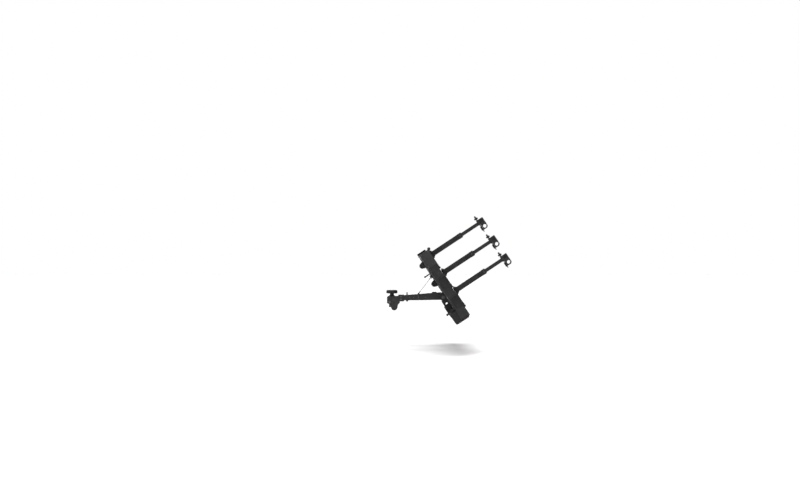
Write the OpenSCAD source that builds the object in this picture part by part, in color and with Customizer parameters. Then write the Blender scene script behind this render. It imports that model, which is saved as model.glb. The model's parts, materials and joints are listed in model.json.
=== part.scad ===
// Towball-mounted tilting platform carrier for three bicycles.
// Row frame: origin at the towball centre, +X rearward, +Z up, +Y to the car's right. Millimetres.
// Deck frame: u rearward along the deck, y as in the row, v up from the deck's underside.

/* [Pose] */
// deck tilt shown, degrees about +Y
tilt = 56.5; // [0:0.5:60]
// tilt axis, distance behind the towball
hinge_x = 474; // [440:1:520]
// tilt axis, height above the towball centre
hinge_z = 88; // [70:1:110]
// tilt axis, distance from the deck's front end
hinge_u = 475; // [440:1:520]
// tilt axis, depth under the deck's underside
hinge_drop = 22.7; // [15:0.1:40]

/* [Deck] */
// overall length of the deck
deck_l = 722; // [650:1:800]
// half the overall width
half_w = 650; // [550:5:700]
// height of the end walls
wall_h = 98; // [80:1:120]
// length of the plain front corner
corner_l = 148; // [120:1:180]
// distance between wheel trays
pitch = 210; // [190:1:230]
// middle of the first wheel tray
tray_u = 122; // [110:1:140]
// inner width of a tray at its floor
tray_w = 96; // [70:1:110]
// thickness of a tray wall
tray_t = 3; // [2:0.5:5]
// height of a tray's floor
floor_v = 60; // [50:1:70]
// outer face of each chassis beam
beam_y = 100; // [90:1:120]
// width of a chassis beam
beam_w = 35; // [30:1:50]
// height of a chassis beam
beam_h = 76; // [60:1:80]
// wing hinge, distance from the middle
fold_y = 132; // [120:1:150]
// wing hinge, height
fold_v = 70; // [60:1:80]
// depth of the lamp units under the deck
lamp_d = 66; // [50:1:80]

/* [Tube and coupling] */
// half width of the main tube
tube_y = 25; // [20:1:35]
// wall of the main tube
tube_t = 3; // [2:0.5:5]
// radius of the towball
ball_r = 25; // [25:0.1:25.4]
// radius of the tension knob
knob_r = 56; // [40:1:60]
// middle of the tension knob along the tube
knob_x = -23; // [-30:1:0]
// striker bar, distance behind the towball
striker_x = 124; // [110:1:140]
// striker bar, height
striker_z = 130; // [120:1:140]

/* [Frame holders] */
// middle of the first holder
arm_u = 70; // [60:1:90]
// height of the holder's pivot
arm_v = 118; // [110:1:130]
// top of the outer tube
arm_top = 463; // [400:1:500]
// height of the clamp's middle
clamp_v = 698; // [600:1:720]
// distance from the arm to the clamp's middle
clamp_a = 52; // [40:1:70]
// radius of the frame tube held
clamp_r = 17.5; // [12:0.5:30]

/* [Hidden] */
$fn = 96;
rear_u = deck_l - 18;
wing_y = 150;
end_y = half_w - 12;
ux = cos(tilt);
vx = sin(tilt);
latch_u = 140;
latch_v = 50;
rod_y = 11;
rod_v = 69.5;
pedal_u = 640;
pedal_v = 40;
bolt_x = 64;
bolt_z = [66, 92];
striker_y = 14;
wire_x = 234.5;
wire_z = 122;
wire_u = 247;
wire_v = -11.3;
wire_y = -44;
cup_r = ball_r + 0.2;
function low_z(x) = 56 + (x - 114) * 0.0151;
function top_z(x) = 107 + (x - 114) * 0.0785;
function deck_x(u, v) = hinge_x + (u - hinge_u) * ux + (v + hinge_drop) * vx;
function deck_z(u, v) = hinge_z - (u - hinge_u) * vx + (v + hinge_drop) * ux;

// ---- helpers ----

// children drawn in the deck frame
module deck() {
  translate([hinge_x, 0, hinge_z])
    rotate([0, tilt, 0])
      translate([-hinge_u, 0, hinge_drop])
        children();
}

// children mirrored to the car's left for s = -1
module side(s) {
  if (s > 0) {
    children();
  } else {
    mirror([0, 1, 0]) children();
  }
}

// box between two corners
module box(a, b) {
  translate(a) cube(b - a);
}

// closed hollow section between two corners
module hollow(a, b, t) {
  difference() {
    box(a, b);
    box(a + [t, t, t], b - [t, t, t]);
  }
}

// cylinder along Y from y0 to y1
module rod_along_y(x, z, r, y0, y1) {
  translate([x, y0, z]) rotate([-90, 0, 0]) cylinder(r = r, h = y1 - y0);
}

// cylinder along X (or u) from x0 to x1
module rod_along_x(y, z, r, x0, x1) {
  translate([x0, y, z]) rotate([0, 90, 0]) cylinder(r = r, h = x1 - x0);
}

// a flat shape given as [x, z] points, standing between y0 and y1
module slab(points, y0, y1) {
  translate([0, y1, 0]) rotate([90, 0, 0]) linear_extrude(height = y1 - y0) polygon(points);
}

// ---- fixed tube and coupling ----

module tube_prism(x0, x1, t, y) {
  slab([[x0, low_z(x0) + t], [x1, low_z(x1) + t], [x1, top_z(x1) - t], [x0, top_z(x0) - t]], -y, y);
}

module main_tube() color("#26282b") {
  difference() {
    union() {
      tube_prism(42, 458, 0, tube_y);
      rod_along_y(hinge_x, hinge_z, 35, -30, 30);
    }
    tube_prism(39, 436, tube_t, tube_y - tube_t);
    rod_along_y(hinge_x, hinge_z, 13, -31, 31);
    for (z = bolt_z) rod_along_y(bolt_x, z, 5, -40, 40);
    for (y = [-striker_y, striker_y]) translate([striker_x, y, 40]) cylinder(r = 6, h = 90);
  }
}

module coupling_shell() color("#2c2d2f") {
  difference() {
    union() {
      slab([[-71, 34], [-62, 24], [46, 24], [55, 34], [55, 97], [-60, 97], [-71, 86]], -43, 43);
      box([40, -32, 46], [94, 32, 110]);
      for (s = [-1, 1]) {
        slab([[-44, 26], [-21, -20], [21, -20], [44, 26]], s > 0 ? 34 : -43, s > 0 ? 43 : -34);
        rod_along_y(0, -10, 30, s > 0 ? 34 : -43, s > 0 ? 43 : -34);
      }
      translate([knob_x, 0, 96]) cylinder(r = 26, h = 10);
    }
    box([-65, -34, -45], [38, 34, 88]);
    tube_prism(42, 100, 0, tube_y);
    for (z = bolt_z) rod_along_y(bolt_x, z, 5, -40, 40);
    translate([knob_x, 0, 80]) cylinder(r = 8.05, h = 40);
    rod_along_y(-46, 44, 6, -44, 44);
  }
}

module ball_seat() color("#3a3b3d") {
  difference() {
    union() {
      translate([0, 0, 10]) cylinder(r = 33, h = 24);
      intersection() {
        translate([0, 0, -16]) cylinder(r = 33, h = 30);
        box([3, -40, -20], [40, 40, 20]);
      }
      box([8, -34, 30], [38, 34, 88]);
    }
    sphere(r = cup_r);
    translate([0, 0, -30]) cylinder(r = cup_r, h = 30);
    box([-40, -40, -20], [-24, 40, 40]);
  }
}

module coupling_bolts() color("#8d9094") {
  for (z = bolt_z) {
    rod_along_y(bolt_x, z, 5, -32.5, 32.5);
    rod_along_y(bolt_x, z, 7, 32, 37);
    rod_along_y(bolt_x, z, 7, -37, -32);
  }
  difference() {
    rod_along_y(-46, 44, 6, -46, 46);
    rod_along_y(-46, 44, 2, -47, -44);
  }
}

module striker() color("#8d9094") {
  for (y = [-striker_y, striker_y]) {
    translate([striker_x, y, 44]) cylinder(r = 6, h = striker_z - 44);
    translate([striker_x, y, striker_z]) sphere(r = 6);
    difference() {
      translate([striker_x, y, 46]) cylinder(r = 9.5, h = low_z(striker_x) - 46.2);
      translate([striker_x, y, 40]) cylinder(r = 5, h = 20);
    }
  }
  rod_along_y(striker_x, striker_z, 6, -striker_y, striker_y);
}

module tilt_bushes() color("#55585c") {
  difference() {
    union() {
      rod_along_y(hinge_x, hinge_z, 13, -33, 33);
      for (s = [-1, 1]) rod_along_y(hinge_x, hinge_z, 18, s > 0 ? 30 : -33, s > 0 ? 33 : -30);
    }
    rod_along_y(hinge_x, hinge_z, 10.05, -34, 34);
  }
}

module tube_fittings() color("#3a3c3f") {
  slab([[227, 74], [242, 74], [242, 108], [239, 130], [230, 130], [227, 108]], -31, -25);
  rod_along_y(wire_x, wire_z, 5, wire_y - 5, -31);
  rod_along_y(wire_x, wire_z, 8, wire_y - 8, wire_y - 5);
  for (z = [84, 98]) rod_along_y(wire_x, z, 5, -35, -31);
}

module bump_stop() color("#151515") {
  slab([[368, top_z(368)], [412, top_z(412)], [410, 137.6], [370, 137.6]], -18, 18);
}

module tilt_wire() color("#77797c") {
  wx = deck_x(wire_u, wire_v);
  wz = deck_z(wire_u, wire_v);
  run = sqrt(pow(wx - wire_x, 2) + pow(wz - wire_z, 2));
  lean = atan2(wx - wire_x, wz - wire_z);
  translate([wire_x, wire_y, wire_z]) rotate([0, lean, 0]) difference() {
    union() {
      cylinder(r = 2.8, h = run);
      for (h = [8, run - 30]) translate([0, 0, h]) cylinder(r = 4.4, h = 22);
      for (h = [0, run]) translate([0, 2.5, h]) rotate([90, 0, 0]) cylinder(r = 9, h = 5);
    }
    for (h = [0, run]) translate([0, 5, h]) rotate([90, 0, 0]) cylinder(r = 5.05, h = 10);
  }
}

module clamp_jaw() color("#3a3b3d") {
  difference() {
    union() {
      intersection() {
        translate([0, 0, -16]) cylinder(r = 33, h = 25);
        box([-40, -40, -20], [-2, 40, 20]);
      }
      box([-52, -20, -10], [-31, 20, 44]);
      rod_along_y(-46, 44, 11, -20, 20);
      box([-46, -12, 44], [-26, 12, 54]);
    }
    sphere(r = cup_r);
    translate([0, 0, -30]) cylinder(r = cup_r, h = 30);
    rod_along_y(-46, 44, 6.05, -21, 21);
  }
}

module clamp_knob() color("#1d1e20") {
  difference() {
    union() {
      translate([knob_x, 0, 106.5]) cylinder(r = 20, h = 16);
      translate([knob_x, 0, 122]) cylinder(r = knob_r, h = 24);
      translate([knob_x, 0, 145.99]) cylinder(r1 = knob_r, r2 = knob_r - 12, h = 11);
      translate([knob_x, 0, 55]) cylinder(r = 8, h = 54);
    }
    for (i = [0:7])
      translate([knob_x, 0, 120]) rotate([0, 0, i * 45]) translate([knob_r + 7, 0, 0])
        cylinder(r = 14, h = 40);
    translate([knob_x, 0, 138]) cylinder(r = 8.05, h = 30);
  }
}

module lock_barrel() color("#b9bbbe") {
  difference() {
    translate([knob_x, 0, 138.5]) cylinder(r = 8, h = 19);
    box([knob_x - 1, -4.5, 153], [knob_x + 1, 4.5, 160]);
  }
}

// ---- chassis ----

module chassis_beams() color("#232527") deck() {
  for (s = [-1, 1]) side(s) hollow([46, beam_y - beam_w, 0], [rear_u, beam_y, beam_h], 2.5);
  for (s = [-1, 1]) side(s) for (u = [64, 250, 436, 640]) difference() {
    union() {
      box([u, beam_y, fold_v - 26], [u + 26, fold_y, fold_v - 2]);
      rod_along_x(fold_y, fold_v, 12, u, u + 26);
      box([u, beam_y, fold_v - 12], [u + 26, fold_y - 5, fold_v]);
    }
    rod_along_x(fold_y, fold_v, 5, u - 1, u + 27);
  }
}

module cross_members() color("#232527") deck() {
  yi = beam_y - beam_w;
  for (u = [156, 362, 575, 668]) hollow([u, -yi, 28], [u + 34, yi, 60], 2.5);
  for (s = [-1, 1]) side(s) {
    difference() {
      union() {
        box([132, 22, 40], [156, 30, 60]);
        rod_along_y(latch_u, latch_v, 10, 22, 30);
      }
      rod_along_y(latch_u, latch_v, 5, 21, 31);
    }
    difference() {
      union() {
        box([609, 22, 30], [642, 30, 50]);
        rod_along_y(pedal_u, pedal_v, 10, 22, 30);
      }
      rod_along_y(pedal_u, pedal_v, 5, 21, 31);
    }
  }
}

module hinge_brackets() color("#26282b") deck() {
  for (s = [-1, 1]) side(s) difference() {
    union() {
      slab([[424, 62], [424, 20], [446, -34], [500, -52], [510, -60], [584, -60], [594, -50],
        [600, 0], [596, 26], [574, 27.5], [574, 62]], 36, 46);
      rod_along_y(hinge_u, -hinge_drop, 33, 36, 46);
      box([430, 46, 6], [568, 65, 56]);
    }
    rod_along_y(hinge_u, -hinge_drop, 10, 35, 47);
    box([436, 45, 12], [562, 66, 50]);
    rod_along_y(548, -28, 13, 35, 47);
  }
}

module tilt_pin() color("#8d9094") {
  rod_along_y(hinge_x, hinge_z, 10, -50, 50);
  for (s = [-1, 1]) rod_along_y(hinge_x, hinge_z, 15, s > 0 ? 46 : -53, s > 0 ? 53 : -46);
}

module saddles() color("#1f2022") deck() {
  for (k = [0, 1]) translate([k * pitch, 0, 0]) {
    difference() {
      box([86, -65, 28], [138, 65, 34]);
      if (k == 0) box([84, -20, 26], [140, 20, 36]);
    }
    if (k == 0) box([60, -65, 28], [86, 65, 34]);
    for (s = [-1, 1]) side(s) {
      slab([[80, 12], [86, 30], [138, 30], [144, 12], [144, -18], [138, -26], [86, -26], [80, -18]],
        34, 44);
      rod_along_y(112, -25, 27, 34, 44);
      box([92, 44, 22], [132, 65, 30]);
    }
  }
}

module guide_pegs() color("#2a2b2d") deck() {
  box([206, -65, 26], [228, 65, 32]);
  for (s = [-1, 1]) side(s) translate([217, 34, -70]) {
    cylinder(r = 5, h = 98);
    cylinder(r = 7, h = 14);
  }
}

module chassis_cover() color("#1c1d1f") deck() {
  difference() {
    union() {
      box([40, -beam_y, beam_h], [706, beam_y, 81]);
      for (s = [-1, 1]) side(s) box([40, beam_y + 0.3, 52], [62, beam_y + 3, 81]);
      box([40, -beam_y, 40], [45.7, beam_y, 81]);
    }
    for (u = [174, 384, 594]) box([u, -34, 70], [u + 54, 34, 90]);
    box([38, -62, 30], [48, 62, 60]);
  }
  for (s = [-1, 1]) side(s) box([wire_u - 14, 59, -20], [wire_u + 14, 65, 24]);
  rod_along_y(wire_u, wire_v, 5, -59, wire_y + 5);
  rod_along_y(wire_u, wire_v, 8, wire_y + 5, wire_y + 8);
}

module plate_board() color("#1a1b1c") deck() {
  difference() {
    union() {
      box([deck_l - 7, -262, -62], [deck_l - 2, 262, 58]);
      box([deck_l - 2, -262, -62], [deck_l + 2, 262, -56]);
      box([deck_l - 2, -262, 52], [deck_l + 2, 262, 58]);
      for (s = [-1, 1]) side(s) {
        box([deck_l - 2, 256, -62], [deck_l + 2, 262, 58]);
        box([rear_u - 2, 40, 34], [deck_l - 6, 64, 54]);
      }
    }
    for (s = [-1, 1]) side(s) box([deck_l - 10, 200, -10], [deck_l, 216, 0]);
  }
}

module arm_bases() color("#26282b") deck() {
  for (k = [0:2]) translate([arm_u + k * pitch, 0, 0]) {
    box([-34, -48, 81], [34, 48, 87]);
    for (s = [-1, 1]) difference() {
      translate([s > 0 ? 25 : -31, 0, 0]) {
        rod_along_x(0, arm_v, 20, 0, 6);
        box([0, -20, 86], [6, 20, arm_v]);
        box([0, -34, 86], [6, 34, 98]);
      }
      rod_along_x(0, arm_v, 6, s > 0 ? 24 : -32, s > 0 ? 32 : -24);
    }
    rod_along_x(0, arm_v, 6, -35, 35);
    for (s = [-1, 1]) rod_along_x(0, arm_v, 10, s > 0 ? 31 : -36, s > 0 ? 36 : -31);
    for (y = [-40, 40]) translate([0, y, 87]) cylinder(r = 6, h = 5);
  }
}

module grab_handle() color("#17181a") deck() {
  rod_along_y(8, 120, 13, -78, 78);
  for (s = [-1, 1]) side(s) {
    translate([8, 78, 120]) sphere(r = 13);
    slab([[4, 112], [14, 128], [50, 92], [50, 81], [34, 81]], 54, 66);
    box([32, 50, 81], [35.5, 70, 90]);
  }
}

module wing_pins() color("#8d9094") deck() {
  for (s = [-1, 1]) side(s) {
    rod_along_x(fold_y, fold_v, 4.95, 56, rear_u - 4);
    for (u = [52, rear_u - 5]) rod_along_x(fold_y, fold_v, 8, u, u + 5);
  }
}

module pivot_pins() color("#8d9094") deck() {
  rod_along_y(latch_u, latch_v, 4.95, -33, 33);
  rod_along_y(pedal_u, pedal_v, 4.95, -33, 33);
}

// release hook, shown open, closing by -25 degrees
module latch_hook() color("#9a9da1") deck() {
  translate([latch_u, 0, latch_v]) rotate([0, 25, 0]) {
    difference() {
      union() {
        rod_along_y(0, 0, 12, -5, 5);
        slab([[-37, -48], [-9, -48], [-10, -40], [-23, -39], [-23, -22], [-4, -11], [8, 8], [-6, 10],
          [-37, -8]], -5, 5);
        slab([[-12, 4], [-9, 22], [2, 22], [8, 4]], -5, 5);
      }
      rod_along_y(0, 0, 5, -6, 6);
    }
    rotate([0, -12.5, 0]) rod_along_y(0, 19.97, 3, 5, 17);
  }
}

module pull_rod() color("#9a9da1") deck() {
  for (u = [latch_u + 4.33, pedal_u + 4.33]) difference() {
    box([u - 9, rod_y - 3, rod_v - 9], [u + 9, rod_y + 3, rod_v + 5.5]);
    box([u - 3.3, rod_y - 4, rod_v - 6], [u + 3.3, rod_y + 4, rod_v + 4]);
  }
  rod_along_x(rod_y, rod_v - 1, 3, latch_u + 13, pedal_u - 4.4);
}

// foot pedal, shown pressed, returning by -16.7 degrees
module foot_pedal() color("#1f2022") deck() {
  translate([pedal_u, 0, pedal_v]) {
    difference() {
      union() {
        rod_along_y(0, 0, 12, -5, 5);
        slab([[-12, 0], [-9, -70], [-1, -128], [11, -128], [7, -70], [12, 0]], -5, 5);
        slab([[-11, 4], [-3, 33], [11, 33], [12, 4]], -5, 5);
        slab([[-3, -100], [0, -132], [10, -132], [8, -100]], -46, 46);
      }
      rod_along_y(0, 0, 5, -6, 6);
    }
    rotate([0, 8.348, 0]) rod_along_y(0, 29.82, 3, 5, 17);
  }
}

// ---- wings ----

module wing_frame(s) color("#232527") deck() side(s) {
  hollow([16, wing_y, 0], [rear_u, wing_y + 30, 57], 2.5);
  hollow([16, end_y - 26, 0], [rear_u + 2, end_y, 88], 2.5);
  hollow([16, wing_y + 30, 0], [46, end_y - 26, 50], 2.5);
  hollow([rear_u - 34, wing_y + 30, 0], [rear_u, end_y - 26, 50], 2.5);
  for (u = [92, 278, 464, 614]) difference() {
    union() {
      rod_along_x(fold_y, fold_v, 11, u, u + 24);
      box([u, fold_y, fold_v - 11], [u + 24, 160, fold_v + 4]);
      box([u, 144, fold_v - 22], [u + 24, 150, fold_v]);
    }
    rod_along_x(fold_y, fold_v, 5, u - 1, u + 25);
  }
}

// one trough along Y between y0 and y1
module trough(y0, y1) {
  h = wall_h - 1;
  w = tray_w / 2;
  slab([[-w - 16, h], [-w - 16, h - 9], [-w - 12, h - 9], [-w, floor_v], [w, floor_v],
    [w + 12, h - 9], [w + 16, h - 9], [w + 16, h], [w + 10, h], [w - 2, floor_v + tray_t],
    [-w + 2, floor_v + tray_t], [-w - 10, h]], y0, y1);
}

module wheel_trays(s) color("#161718") deck() side(s) {
  w = tray_w / 2;
  for (k = [0:2]) translate([tray_u + k * pitch, 0, 0]) {
    trough(182, end_y - 26.3);
    box([-w, 162, floor_v], [w, 184, floor_v + tray_t]);
    box([-w, 180, floor_v], [w, 184, wall_h - 1]);
    box([-w - 12, 606, floor_v + 3], [w + 12, end_y - 26.3, wall_h]);
    if (k > 0) {
      box([-w - 12, 606, 88.3], [w + 12, 648, wall_h]);
      difference() {
        slab([[-w - 12, wall_h], [-w - 12, 50], [-w + 2, 12], [w - 2, 12], [w + 12, 50],
          [w + 12, wall_h]], 638.3, 648);
        slab([[-w - 4, wall_h - 8], [-w - 4, 51], [-w + 7, 20], [w - 7, 20], [w + 4, 51],
          [w + 4, wall_h - 8]], 644, 649);
      }
    }
  }
}

module corner_guard(s) color("#2d2d2d") deck() side(s) {
  box([0, 644, 0], [corner_l, half_w, wall_h]);
  box([0, 560, 0], [5, 644, wall_h]);
  difference() {
    box([0, 560, 90], [corner_l, 644, wall_h]);
    box([tray_u - 70, 558, 88], [corner_l + 1, 613, wall_h + 1]);
  }
  for (u = [24, 120]) box([u, 638.3, 20], [u + 8, 644, 80]);
}

module lamp_housing(s) color("#1b1c1d") deck() side(s) {
  difference() {
    box([606, 296, -lamp_d], [708, 644, -1]);
    box([609, 299, -lamp_d + 3], [706, 641, -4]);
  }
  difference() {
    box([706.4, 296, -lamp_d], [714, 644, 78]);
    box([708.5, 302, -60], [715, 638, 72]);
  }
  box([594, 330, -40], [597, 610, -1]);
  for (y = [330, 596]) box([597, y, -20], [606, y + 14, -10]);
}

module lamp_lens(s) color("#b8403a") deck() side(s) {
  difference() {
    box([709, 302.3, -59.7], [722, 637.7, 71.7]);
    box([708, 305, -57], [719, 635, 69]);
  }
  for (y = [400, 500, 570]) box([712, y, -57], [719, y + 2, 69]);
}

module wheel_straps(s) color("#121212") deck() side(s) {
  w = tray_w / 2 + 16;
  for (k = [0:2]) translate([tray_u + k * pitch, 0, 0]) {
    box([-w - 3, 556, wall_h + 0.6], [w + 3, 582, wall_h + 3]);
    box([w + 0.6, 556, 64], [w + 3, 582, wall_h + 3]);
    box([-w - 3, 556, 64], [-w - 0.6, 582, wall_h + 3]);
  }
}

module buckles(s) color("#202123") deck() side(s) {
  w = tray_w / 2 + 19;
  for (k = [0:2]) translate([tray_u + k * pitch + w, 0, 0]) difference() {
    union() {
      box([0.2, 552, 66], [4, 586, 100]);
      for (y = [552, 582]) {
        box([0.2, y, 84], [13, y + 4, 104]);
        rod_along_y(10, 96, 8, y, y + 4);
      }
      rod_along_y(10, 96, 3, 552, 586);
    }
    box([3, 557, 60], [5, 581, 64]);
  }
}

module lever(k, s) color("#33363a") deck() side(s) {
  w = tray_w / 2 + 19;
  translate([tray_u + (k - 1) * pitch + w, 0, 0]) difference() {
    union() {
      rod_along_y(10, 96, 5.6, 556.5, 581.5);
      slab([[4.6, 96], [10, 66], [16, 60], [20, 62], [16, 80], [17, 96]], 557, 581);
    }
    rod_along_y(10, 96, 3.05, 556, 582);
  }
}

// ---- frame holders ----

module arm_at(k) {
  deck() translate([arm_u + (k - 1) * pitch, 0, 0]) children();
}

module arm_tube(k) color("#17181a") arm_at(k) {
  difference() {
    union() {
      box([-24, -15, arm_v], [24, 15, arm_top]);
      rod_along_x(0, arm_v, 15, -24, 24);
      box([-26, -17, arm_top - 42], [26, 17, arm_top]);
      rod_along_y(0, arm_top - 20, 11, -24, -16);
    }
    box([-17.4, -9.4, 145], [17.4, 9.4, arm_top + 1]);
    rod_along_x(0, arm_v, 6.05, -25, 25);
  }
}

module arm_slide(k) color("#202124") arm_at(k) {
  box([-17, -9, 300], [17, 9, clamp_v - 40]);
  difference() {
    union() {
      box([-34, -20, clamp_v - 46], [20, 20, clamp_v + 26]);
      intersection() {
        rod_along_y(clamp_a, clamp_v, 27, -20, 20);
        box([0, -21, clamp_v - 40], [clamp_a - 1.5, 21, clamp_v + 40]);
      }
      box([19, -20, clamp_v - 27], [clamp_a - 12, 20, clamp_v + 27]);
    }
    rod_along_y(clamp_a, clamp_v, clamp_r, -22, 22);
    rod_along_x(0, clamp_v - 34, 5.05, -40, 60);
    box([-26, -21, clamp_v - 18], [8, -14, clamp_v + 18]);
    box([-26, 14, clamp_v - 18], [8, 21, clamp_v + 18]);
  }
}

module arm_jaw(k) color("#2b2c2f") arm_at(k) {
  difference() {
    union() {
      intersection() {
        rod_along_y(clamp_a, clamp_v, 27, -18, 18);
        box([clamp_a + 1.5, -21, clamp_v - 40], [clamp_a + 40, 21, clamp_v + 40]);
      }
      box([clamp_a - 14, -14, clamp_v - 46], [clamp_a + 27, 14, clamp_v - 27.5]);
      box([clamp_a + 14, -14, clamp_v - 28], [clamp_a + 27, 14, clamp_v]);
    }
    rod_along_y(clamp_a, clamp_v, clamp_r, -22, 22);
    rod_along_x(0, clamp_v - 34, 5.05, 0, 120);
  }
}

module arm_knob(k) color("#121314") arm_at(k) {
  translate([0, 0, clamp_v - 34]) {
    rod_along_x(0, 0, 5, -80, clamp_a + 46);
    rod_along_x(0, 0, 8, -44, -34.4);
    difference() {
      rod_along_x(0, 0, 19, -60, -42);
      for (i = [0:4]) rotate([i * 72, 0, 0]) rod_along_x(23, 0, 8, -61, -41);
    }
    rod_along_x(0, 0, 8, -80, -66);
  }
}

main_tube();
coupling_shell();
ball_seat();
coupling_bolts();
striker();
tilt_bushes();
tube_fittings();
bump_stop();
tilt_wire();
clamp_jaw();
clamp_knob();
lock_barrel();
chassis_beams();
cross_members();
hinge_brackets();
tilt_pin();
saddles();
guide_pegs();
chassis_cover();
plate_board();
arm_bases();
grab_handle();
wing_pins();
pivot_pins();
latch_hook();
pull_rod();
foot_pedal();
wing_frame(1);  // wing_frame_r
wheel_trays(1);  // wheel_trays_r
corner_guard(1);  // corner_guard_r
lamp_housing(1);  // lamp_housing_r
lamp_lens(1);  // lamp_lens_r
wheel_straps(1);  // wheel_straps_r
buckles(1);  // buckles_r
lever(1, 1);  // lever_1_r
lever(2, 1);  // lever_2_r
lever(3, 1);  // lever_3_r
wing_frame(-1);  // wing_frame_l
wheel_trays(-1);  // wheel_trays_l
corner_guard(-1);  // corner_guard_l
lamp_housing(-1);  // lamp_housing_l
lamp_lens(-1);  // lamp_lens_l
wheel_straps(-1);  // wheel_straps_l
buckles(-1);  // buckles_l
lever(1, -1);  // lever_1_l
lever(2, -1);  // lever_2_l
lever(3, -1);  // lever_3_l
arm_tube(1);  // arm_tube_1
arm_slide(1);  // arm_slide_1
arm_jaw(1);  // arm_jaw_1
arm_knob(1);  // arm_knob_1
arm_tube(2);  // arm_tube_2
arm_slide(2);  // arm_slide_2
arm_jaw(2);  // arm_jaw_2
arm_knob(2);  // arm_knob_2
arm_tube(3);  // arm_tube_3
arm_slide(3);  // arm_slide_3
arm_jaw(3);  // arm_jaw_3
arm_knob(3);  // arm_knob_3
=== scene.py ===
"""Tilting towball carrier for three bicycles: finishes, fine detail, studio and camera."""

import json
from math import cos, pi, radians, sin, sqrt

import bmesh
import bpy
from mathutils import Matrix, Vector


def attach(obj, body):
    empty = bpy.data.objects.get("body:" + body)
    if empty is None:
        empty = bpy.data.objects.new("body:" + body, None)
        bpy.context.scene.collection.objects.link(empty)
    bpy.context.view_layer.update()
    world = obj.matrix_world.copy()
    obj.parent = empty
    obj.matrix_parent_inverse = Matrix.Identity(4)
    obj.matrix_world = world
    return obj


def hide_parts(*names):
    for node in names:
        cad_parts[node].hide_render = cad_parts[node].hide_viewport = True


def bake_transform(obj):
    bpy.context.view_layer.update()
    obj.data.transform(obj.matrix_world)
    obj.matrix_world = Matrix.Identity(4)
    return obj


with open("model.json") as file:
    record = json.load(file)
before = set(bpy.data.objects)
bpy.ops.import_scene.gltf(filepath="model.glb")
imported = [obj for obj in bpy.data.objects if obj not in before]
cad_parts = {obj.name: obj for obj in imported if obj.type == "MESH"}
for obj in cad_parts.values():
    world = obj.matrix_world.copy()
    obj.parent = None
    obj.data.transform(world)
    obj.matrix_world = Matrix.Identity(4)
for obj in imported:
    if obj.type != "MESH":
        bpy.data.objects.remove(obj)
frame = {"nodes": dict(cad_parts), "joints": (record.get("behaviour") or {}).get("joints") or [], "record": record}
NODES = frame["nodes"]
JOINTS = {j["name"]: j for j in frame["joints"]}
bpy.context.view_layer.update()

# ---- sizes, in metres, in the row frame or the deck frame (u, y, v) ----

MM = 0.001
move = Matrix.Translation


def mm(*lengths):
    """Millimetres turned to metres, as a tuple."""
    return tuple(length * MM for length in lengths)


HINGE = Vector(JOINTS["deck_tilt"]["pos_m"])
TILT = radians(-JOINTS["deck_tilt"]["range_deg"][0])
HINGE_U = 475 * MM
HINGE_DROP = 22.7 * MM
DECK = (
    move(HINGE)
    @ Matrix.Rotation(TILT, 4, "Y")
    @ move(Vector((-HINGE_U, 0, HINGE_DROP)))
)
ROW = Matrix.Identity(4)
PITCH = 210 * MM
TRAY_U = 122 * MM
ARM_U = 70 * MM
KNOB_X = -23 * MM
GROUND_Z = -0.417
SIDES = {"r": 1, "l": -1}
SADDLE_U = 112 * MM
CROSS_U = (156, 362, 575, 668)
TRAY_ENDS = mm(182, 611.7)
STRAP_Y = 569 * MM
WIRE_FOOT = Vector(mm(234.5, -44, 122))
WIRE_HEAD = Vector(mm(247, -44, -11.3))
COLLAR_V = 443
KNOB_V = 664
CLAMP_CENTRE = mm(52, 698)
MERGE_GROWTH = 1.002
SLOT_EVERY = 8
CAMERA_AT = (0.0555, -10.0, 0.545)
CAMERA_LENS = 46.25


def mirrored(side):
    """The deck frame, flipped to the car's left where side is l."""
    return DECK @ Matrix.Diagonal((1, SIDES[side], 1, 1))


# ---- materials ----


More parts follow.
